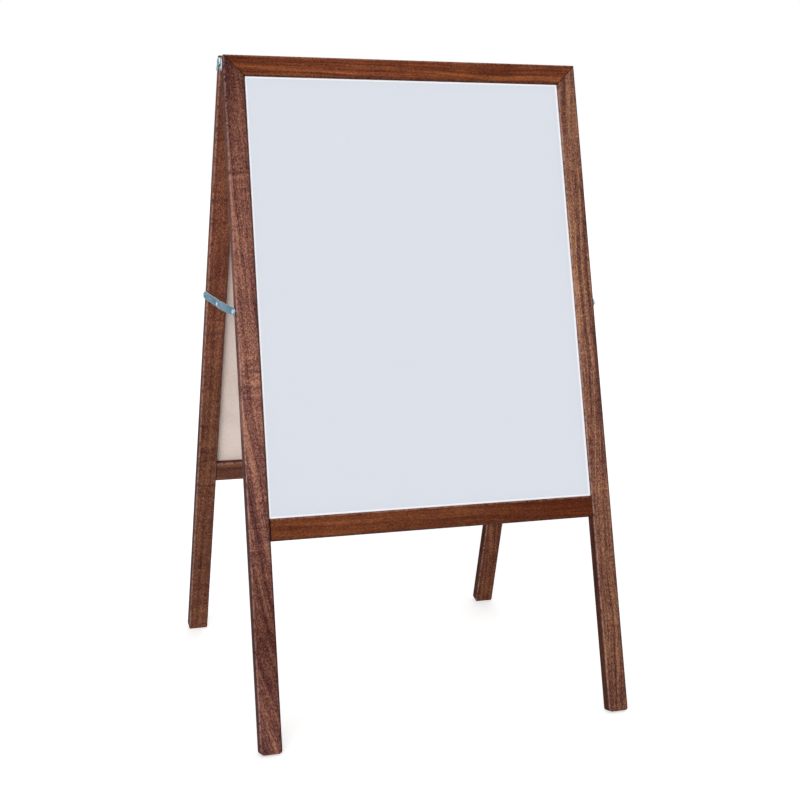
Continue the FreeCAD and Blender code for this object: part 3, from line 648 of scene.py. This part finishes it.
def lathe(profile, closed=False):
    """A turned piece about +Z from (height, radius) pairs."""
    form = bmesh.new()
    points = [form.verts.new((radius, 0, height)) for height, radius in profile]
    pairs = list(zip(points, points[1:]))
    if closed:
        pairs.append((points[-1], points[0]))
    edges = [form.edges.new(pair) for pair in pairs]
    bmesh.ops.spin(form, geom=points + edges, cent=(0, 0, 0), axis=(0, 0, 1),
                   angle=2 * math.pi, steps=TURNED_STEPS, use_merge=True)
    return closed_up(form)


def dome(seat, height, radius):
    """Profile of a low domed head from its crown to the edge of its seat."""
    rim = 0.25 * height
    seat_radius = radius * 0.97
    profile = []
    for step in range(DOME_STEPS + 1):
        angle = math.pi / 2 * (1 - step / DOME_STEPS)
        profile.append((seat + rim + (height - rim) * math.sin(angle), radius * math.cos(angle)))
    return profile + [(seat, seat_radius)]


def crowned_head(form, radius, height):
    """Rounds a square grid of half-width 1 into a screw's low crown."""
    edge_height, crown_height, flattening = 0.45, 0.55, 0.97
    for vert in form.verts:
        u, v = vert.co.xy
        disc = Vector((u * math.sqrt(1 - v * v / 2), v * math.sqrt(1 - u * u / 2)))
        swell = math.sqrt(max(0.0, 1 - (flattening * disc.length) ** 2))
        crown = edge_height + crown_height * swell
        vert.co = (disc.x * radius, disc.y * radius, crown * height)


def sunk_cross(form, cross, radius, height):
    """Presses the faces of a cross into a screw's crown, deepest in the middle."""
    middle_depth, end_rise, taper = 0.75, 0.3, 0.86
    sunk = bmesh.ops.extrude_face_region(form, geom=cross)["geom"]
    for vert in (item for item in sunk if isinstance(item, bmesh.types.BMVert)):
        depth = middle_depth - end_rise * vert.co.xy.length / radius
        vert.co = (vert.co.x * taper, vert.co.y * taper, vert.co.z - depth * height)


def drawn_out(form, rings):
    """Carries the open rim of a form through rings of (radius, height)."""
    rim = [edge for edge in form.edges if edge.is_boundary]
    for radius, height in rings:
        made = bmesh.ops.extrude_edge_only(form, edges=rim)["geom"]
        rim = [item for item in made if isinstance(item, bmesh.types.BMEdge)]
        for vert in (item for item in made if isinstance(item, bmesh.types.BMVert)):
            flat = vert.co.xy.normalized() if vert.co.xy.length else Vector((0, 0))
            vert.co = (flat.x * radius, flat.y * radius, height)


def screw(head_radius, head_height, shank_radius, shank_length):
    """A pan-head wood screw along +Z, its seat at 0, with a cross recess in the crown."""
    cells = 14
    arm, reach = 1.5 / cells, 0.66
    point_length = 0.25 * shank_length
    form = bmesh.new()
    bmesh.ops.create_grid(form, x_segments=cells, y_segments=cells, size=1)
    cross = []
    for face in form.faces:
        near, far = sorted(map(abs, face.calc_center_median().xy))
        if near < arm and far < reach:
            cross.append(face)
    crowned_head(form, head_radius, head_height)
    sunk_cross(form, cross, head_radius, head_height)
    drawn_out(form, ((head_radius, 0), (shank_radius, 0),
                     (shank_radius, point_length - shank_length), (0, -shank_length)))
    return closed_up(form)


def softened(node, radius):
    """A copy of a pressed metal piece with its cut edges rounded over."""
    form = bmesh.new()
    form.from_mesh(frame["nodes"][node].data)
    mark = form.faces.layers.float.new(CUT_EDGE)
    bmesh.ops.remove_doubles(form, verts=form.verts, dist=SAME_POINT)
    bmesh.ops.dissolve_limit(form, angle_limit=FLAT_ANGLE, verts=form.verts, edges=form.edges)
    corners = [edge for edge in form.edges
               if len(edge.link_faces) == 2 and edge.calc_face_angle() > CORNER_ANGLE]
    rounded = bmesh.ops.bevel(
        form, geom=corners, offset=radius, offset_type="OFFSET", affect="EDGES",
        segments=EDGE_SEGMENTS, profile=0.5, material=-1, clamp_overlap=True)["faces"]
    for face in rounded:
        face[mark] = 1.0
    return form


def gathered(forms):
    """One form from several placed ones, given as (form, placement) pairs."""
    whole = bmesh.new()
    for form, placement in forms:
        form.transform(placement)
        loose = bpy.data.meshes.new("loose")
        form.to_mesh(loose)
        form.free()
        whole.from_mesh(loose)
        bpy.data.meshes.remove(loose)
    return whole


def add_piece(name, form, material, body, slot, *nodes):
    """A finished piece that rides on a body and stands for nodes of the frame."""
    mesh = bpy.data.meshes.new(name)
    form.to_mesh(mesh)
    form.free()
    mesh.shade_smooth()
    mesh.set_sharp_from_angle(angle=CREASE_ANGLE)
    mesh.materials.append(material)
    piece = bpy.data.objects.new(name, mesh)
    bpy.context.scene.collection.objects.link(piece)
    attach(piece, body)
    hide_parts(*nodes)


def paint(node, material):
    """Gives a node of the frame its finish."""
    mesh = frame["nodes"][node].data
    mesh.materials.clear()
    mesh.materials.append(material)


def paint_wood():
    for node, look in MEMBER_LOOKS.items():
        side = FRONT if node.startswith("front") else REAR
        upright = node.endswith("stile")
        if upright:
            middle = (LEFT if "left" in node else RIGHT) * STILE_MIDDLE
        else:
            middle = TOP_RAIL_MIDDLE if "top" in node else BOTTOM_RAIL_MIDDLE
        paint(node, stained_wood("wood_" + node, side, upright, middle, look))


def paint_boards(side):
    name = FRAME_NAME[side]
    step = 5 * side
    paint(name + "_dry_erase_sheet", writing_sheet("sheet_" + name, side, SHEET_SEED + step))
    paint(name + "_backing_board", pressed_board("board_" + name, side, BOARD_SEED + step))
    beech = bare_beech("beech_" + name, side, BEECH_SEED + step)
    paint(name + "_mitre_splines", beech)
    paint(name + "_rail_tenons", beech)


def make_hinge_leaves(side, silver):
    name = FRAME_NAME[side]
    for hand in (LEFT, RIGHT):
        leaf = "%s_%s_hinge_leaf" % (name, HAND_NAME[hand])
        add_piece("pressed_" + leaf, softened(leaf, LEAF_EDGE), silver, name + "_frame",
                  STEEL_SLOT, leaf)


def make_hinge_screws(side, bright):
    name = FRAME_NAME[side]
    screws = []
    for hand in (LEFT, RIGHT):
        form = screw(HINGE_HEAD_RADIUS, HINGE_HEAD_HEIGHT, HINGE_SHANK_RADIUS, HINGE_SHANK_LENGTH)
        place = on_frame(side, hand * (HALF_WIDTH + LEAF_THICKNESS), LEAF_SCREW_OUT, LEAF_SCREW_UP)
        screws.append((form, outward(hand, place, HINGE_SCREW_TURN[side, hand])))
    group = name + "_hinge_screws"
    add_piece("cross_" + group, gathered(screws), bright, name + "_frame", STEEL_SLOT, group)


def make_hinge_rivets(silver):
    rivets = []
    for hand in (LEFT, RIGHT):
        form = lathe(dome(HINGE_RIVET_SEAT, HINGE_RIVET_HEIGHT, HINGE_RIVET_RADIUS) + [
            (HINGE_RIVET_SEAT, HINGE_PIN_RADIUS),
            (LEAF_THICKNESS, HINGE_PIN_RADIUS),
            (HINGE_RIVET_INSIDE, HINGE_FLARE_RADIUS),
            (HINGE_RIVET_INSIDE, 0)])
        place = Vector((hand * HALF_WIDTH, 0, HINGE_HEIGHT))
        rivets.append((form, outward(hand, place)))
    add_piece("domed_hinge_rivets", gathered(rivets), silver, "front_frame", STEEL_SLOT,
              "hinge_rivets")


def make_hinges(silver, bright):
    for side in (FRONT, REAR):
        make_hinge_leaves(side, silver)
        make_hinge_screws(side, bright)
    make_hinge_rivets(silver)


def link_pivot(side, hand):
    """Where a brace link turns on its frame."""
    joint = JOINTS["%s_%s_link_turn" % (HAND_NAME[hand], FRAME_NAME[side])]
    return Vector((hand * HALF_WIDTH, joint["pos_m"][1], joint["pos_m"][2]))


def middle_pivot(hand):
    """Where the two links of a brace are riveted together."""
    low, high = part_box(HAND_NAME[hand] + "_rivet_head")
    return Vector((hand * HALF_WIDTH, (low.y + high.y) / 2, (low.z + high.z) / 2))


def washer():
    return lathe([
        (0, WASHER_BORE), (WASHER_THICKNESS, WASHER_BORE),
        (WASHER_THICKNESS, WASHER_RADIUS - WASHER_CHAMFER),
        (WASHER_THICKNESS - WASHER_CHAMFER, WASHER_RADIUS),
        (WASHER_BREAK, WASHER_RADIUS), (0, WASHER_RADIUS - WASHER_BREAK)], closed=True)


def make_brace_fixings(side, plate, bright):
    name = FRAME_NAME[side]
    screws, washers = [], []
    for hand in (LEFT, RIGHT):
        pivot = link_pivot(side, hand)
        form = screw(BRACE_HEAD_RADIUS, BRACE_HEAD_HEIGHT, BRACE_SHANK_RADIUS, BRACE_SHANK_LENGTH)
        seat = pivot + Vector((hand * BRACE_HEAD_SEAT, 0, 0))
        screws.append((form, outward(hand, seat, BRACE_SCREW_TURN[side, hand])))
        washers.append((washer(), outward(hand, pivot)))
    body = name + "_frame"
    group = name + "_brace_screws"
    add_piece("cross_" + group, gathered(screws), bright, body, STEEL_SLOT, group)
    group = name + "_brace_washers"
    add_piece("turned_" + group, gathered(washers), plate, body, STEEL_SLOT, group)


def rivet_head():
    return lathe(dome(RIVET_SEAT, RIVET_HEAD_HEIGHT, RIVET_HEAD_RADIUS) + [
        (RIVET_SEAT, RIVET_RADIUS), (RIVET_HEAD_INSIDE, RIVET_RADIUS), (RIVET_HEAD_INSIDE, 0)])


def rivet_tail():
    return lathe([
        (RIVET_TAIL_END, 0), (RIVET_TAIL_END, RIVET_RADIUS), (RIVET_TAIL_HIGH, RIVET_RADIUS),
        (RIVET_TAIL_HIGH, RIVET_TAIL_RADIUS - RIVET_TAIL_BREAK),
        (RIVET_TAIL_HIGH - RIVET_TAIL_STEP, RIVET_TAIL_RADIUS),
        (RIVET_TAIL_LOW, RIVET_TAIL_RADIUS - RIVET_TAIL_CHAMFER), (RIVET_TAIL_LOW, 0)])


def make_links(hand, plate, bright):
    """The two links of a brace, and the head and tail of the rivet that joins them."""
    label = HAND_NAME[hand]
    for side in (FRONT, REAR):
        link = "%s_%s_link" % (label, FRAME_NAME[side])
        add_piece("pressed_" + link, softened(link, LINK_EDGE), plate, link, STEEL_SLOT, link)
    place = outward(hand, middle_pivot(hand))
    for part, form, side in (("head", rivet_head(), FRONT), ("tail", rivet_tail(), REAR)):
        node = "%s_rivet_%s" % (label, part)
        add_piece("domed_" + node, gathered([(form, place)]), bright,
                  "%s_%s_link" % (label, FRAME_NAME[side]), STEEL_SLOT, node)


def make_braces(plate, bright):
    for side in (FRONT, REAR):
        make_brace_fixings(side, plate, bright)
    for hand in (LEFT, RIGHT):
        make_links(hand, plate, bright)


def make_camera():
    camera = bpy.data.objects.new("camera", bpy.data.cameras.new("camera"))
    bpy.context.scene.collection.objects.link(camera)
    lens = camera.data
    lens.lens = lens.sensor_width * FOCAL_PIXELS / IMAGE_WIDTH
    lens.shift_x = (IMAGE_WIDTH / 2 - CENTRE_PIXEL[0]) / IMAGE_WIDTH
    lens.shift_y = (CENTRE_PIXEL[1] - IMAGE_WIDTH / 2) / IMAGE_WIDTH
    ahead = Vector((-math.sin(CAMERA_TURN) * math.cos(CAMERA_TILT),
                    math.cos(CAMERA_TURN) * math.cos(CAMERA_TILT), math.sin(CAMERA_TILT)))
    level = Vector((math.cos(CAMERA_TURN), math.sin(CAMERA_TURN), 0))
    upward = level.cross(ahead)
    right = math.cos(CAMERA_ROLL) * level + math.sin(CAMERA_ROLL) * upward
    top = right.cross(ahead)
    turn = Matrix((right, top, -ahead)).transposed()
    camera.matrix_world = Matrix.Translation(CAMERA_PLACE) @ turn.to_4x4()
    bpy.context.scene.camera = camera


# Studio: a pale floor, soft light all round, and soft lamps, each with its name, the direction
# that its light comes from, its strength and how wide it looks.
WHITE = grey(1.0)
FLOOR_PALE = srgb(226, 226, 226)
FLOOR_HALF = 20
FLOOR_CELLS = 4
FLOOR_LIFT = 0.5
AMBIENT = 0.24
LAMPS = (
    ("key", Vector((-0.5, -0.85, 0.42)), 2.04, math.radians(40)),
    ("overhead", Vector((0.1, -0.3, 1.0)), 0.5, math.radians(80)),
    ("back", Vector((0.35, 0.9, 0.35)), 1.8, math.radians(50)),
    ("side", Vector((1.0, 0.2, 0.25)), 0.55, math.radians(60)),
)


def seen_directly(finish):
    """1 for rays from the camera and for what shiny surfaces mirror, 0 for soft light."""
    rays = [finish.add("ShaderNodeLightPath", out=out)
            for out in ("Is Camera Ray", "Is Glossy Ray", "Is Transmission Ray")]
    return finish.math("MAXIMUM", rays[0], finish.math("MAXIMUM", rays[1], rays[2]))


def floor_paint():
    finish = Finish("floor")
    seen = seen_directly(finish)
    matt = finish.add("ShaderNodeBsdfDiffuse", None, {"Color": FLOOR_PALE})
    lift = finish.add("ShaderNodeEmission", None, {"Color": WHITE, "Strength": seen * FLOOR_LIFT})
    both = finish.add("ShaderNodeAddShader", None, {0: matt, 1: lift})
    finish.add("ShaderNodeOutputMaterial", None, {"Surface": both})
    return finish.owner


def make_floor():
    form = bmesh.new()
    bmesh.ops.create_grid(form, x_segments=FLOOR_CELLS, y_segments=FLOOR_CELLS, size=FLOOR_HALF)
    mesh = bpy.data.meshes.new("floor")
    form.to_mesh(mesh)
    form.free()
    mesh.materials.append(floor_paint())
    floor = bpy.data.objects.new("floor", mesh)
    bpy.context.scene.collection.objects.link(floor)


def make_world():
    world = bpy.data.worlds.new("studio")
    bpy.context.scene.world = world
    finish = Finish("studio", world)
    strength = AMBIENT + seen_directly(finish) * (1 - AMBIENT)
    light = finish.add("ShaderNodeBackground", None, {"Color": WHITE, "Strength": strength})
    finish.add("ShaderNodeOutputWorld", None, {"Surface": light})


def make_lamps():
    for name, source, strength, width in LAMPS:
        lamp = bpy.data.lights.new(name, "SUN")
        lamp.energy = strength
        lamp.angle = width
        holder = bpy.data.objects.new(name, lamp)
        holder.rotation_euler = source.to_track_quat("Z", "Y").to_euler()
        bpy.context.scene.collection.objects.link(holder)


def main():
    bpy.context.scene.view_settings.view_transform = "Standard"
    plate = zinc_plate("zinc_plate", seed=200.0, base=ZINC_BLUE, cloud_colour=ZINC_DARK,
                       roughness=0.34)
    silver = zinc_plate("silver_zinc", seed=220.0, base=ZINC_SILVER, cloud_colour=ZINC_CLOUD,
                        roughness=0.34)
    bright = zinc_plate("bright_zinc", seed=210.0, base=ZINC_BRIGHT, cloud_colour=ZINC_PALE,
                        roughness=0.24)
    paint_wood()
    for side in (FRONT, REAR):
        paint_boards(side)
    make_hinges(silver, bright)
    make_braces(plate, bright)
    make_floor()
    make_world()
    make_lamps()
    make_camera()


main()
